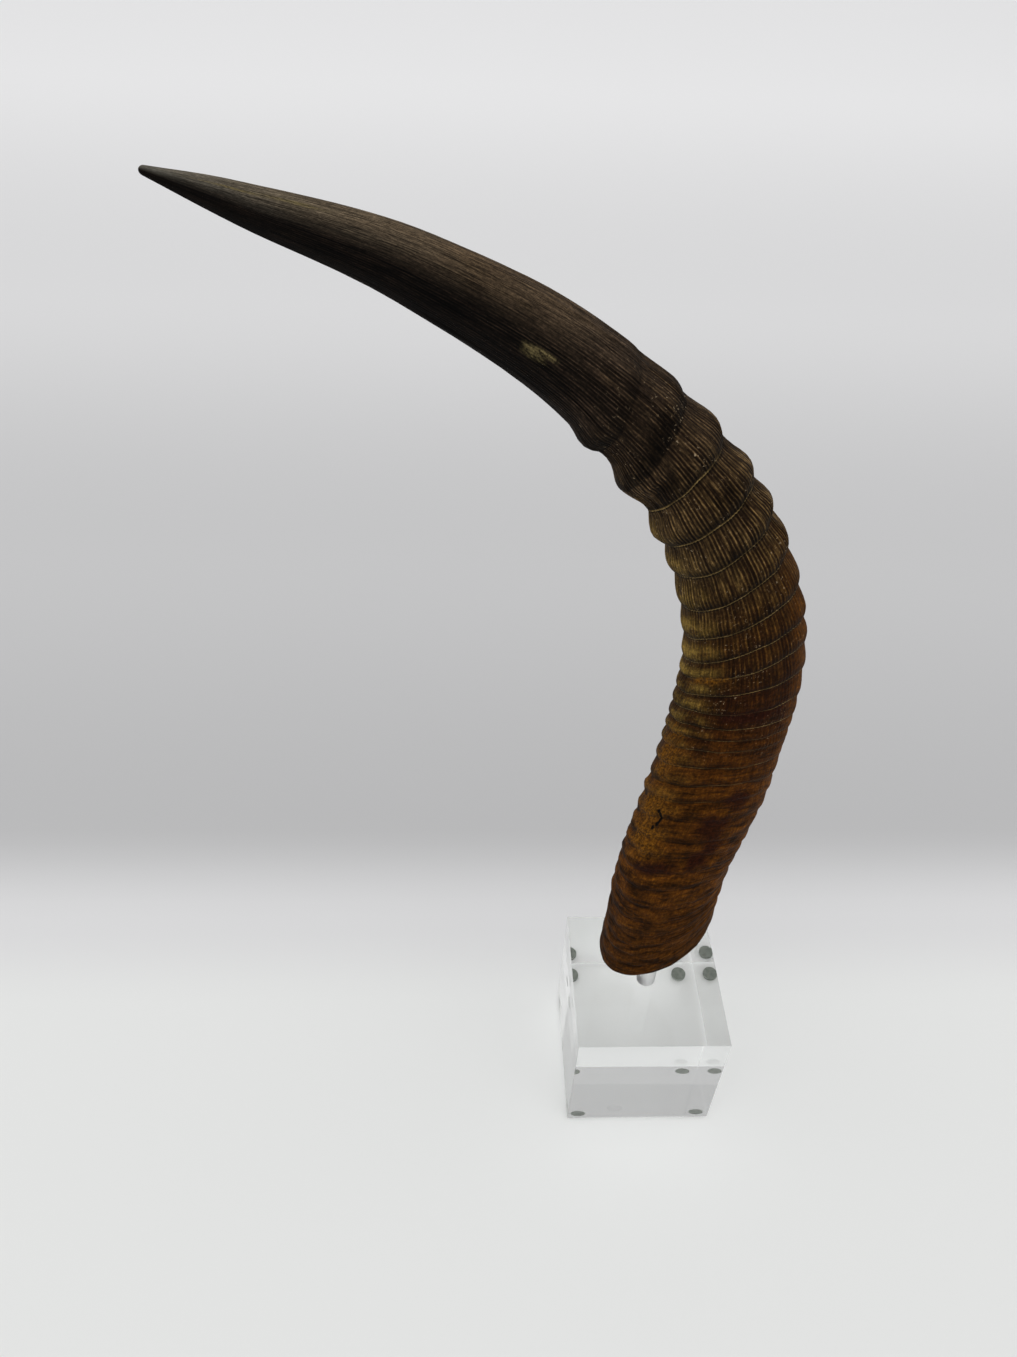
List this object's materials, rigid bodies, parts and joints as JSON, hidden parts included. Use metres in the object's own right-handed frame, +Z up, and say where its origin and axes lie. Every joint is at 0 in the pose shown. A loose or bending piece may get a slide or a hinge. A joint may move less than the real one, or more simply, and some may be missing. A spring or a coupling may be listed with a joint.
{
  "type": "impala horn on a clear block",
  "caption": "Curved antelope horn with slanted growth rings and a smooth dark tip, held by a clear rod on a clear acrylic block with round bumper feet.",
  "frame": {"origin": "middle of the bounding box on the surface that the feet stand on", "axes": "+Z up, +Y from front to back of the block, +X away from the way the horn's tip points"},
  "size_m": [0.2168, 0.0762, 0.4689],
  "materials": {
    "horn": "satin",
    "clear_rod": "polished",
    "clear_block": "polished",
    "bumper": "matte"
  },
  "bodies": {
    "root": {"horn": "horn", "mounting_rod": "clear_rod", "acrylic_block": "clear_block", "foot_front_left": "bumper", "foot_front_right": "bumper", "foot_back_left": "bumper", "foot_back_right": "bumper"}
  },
  "joints": []
}
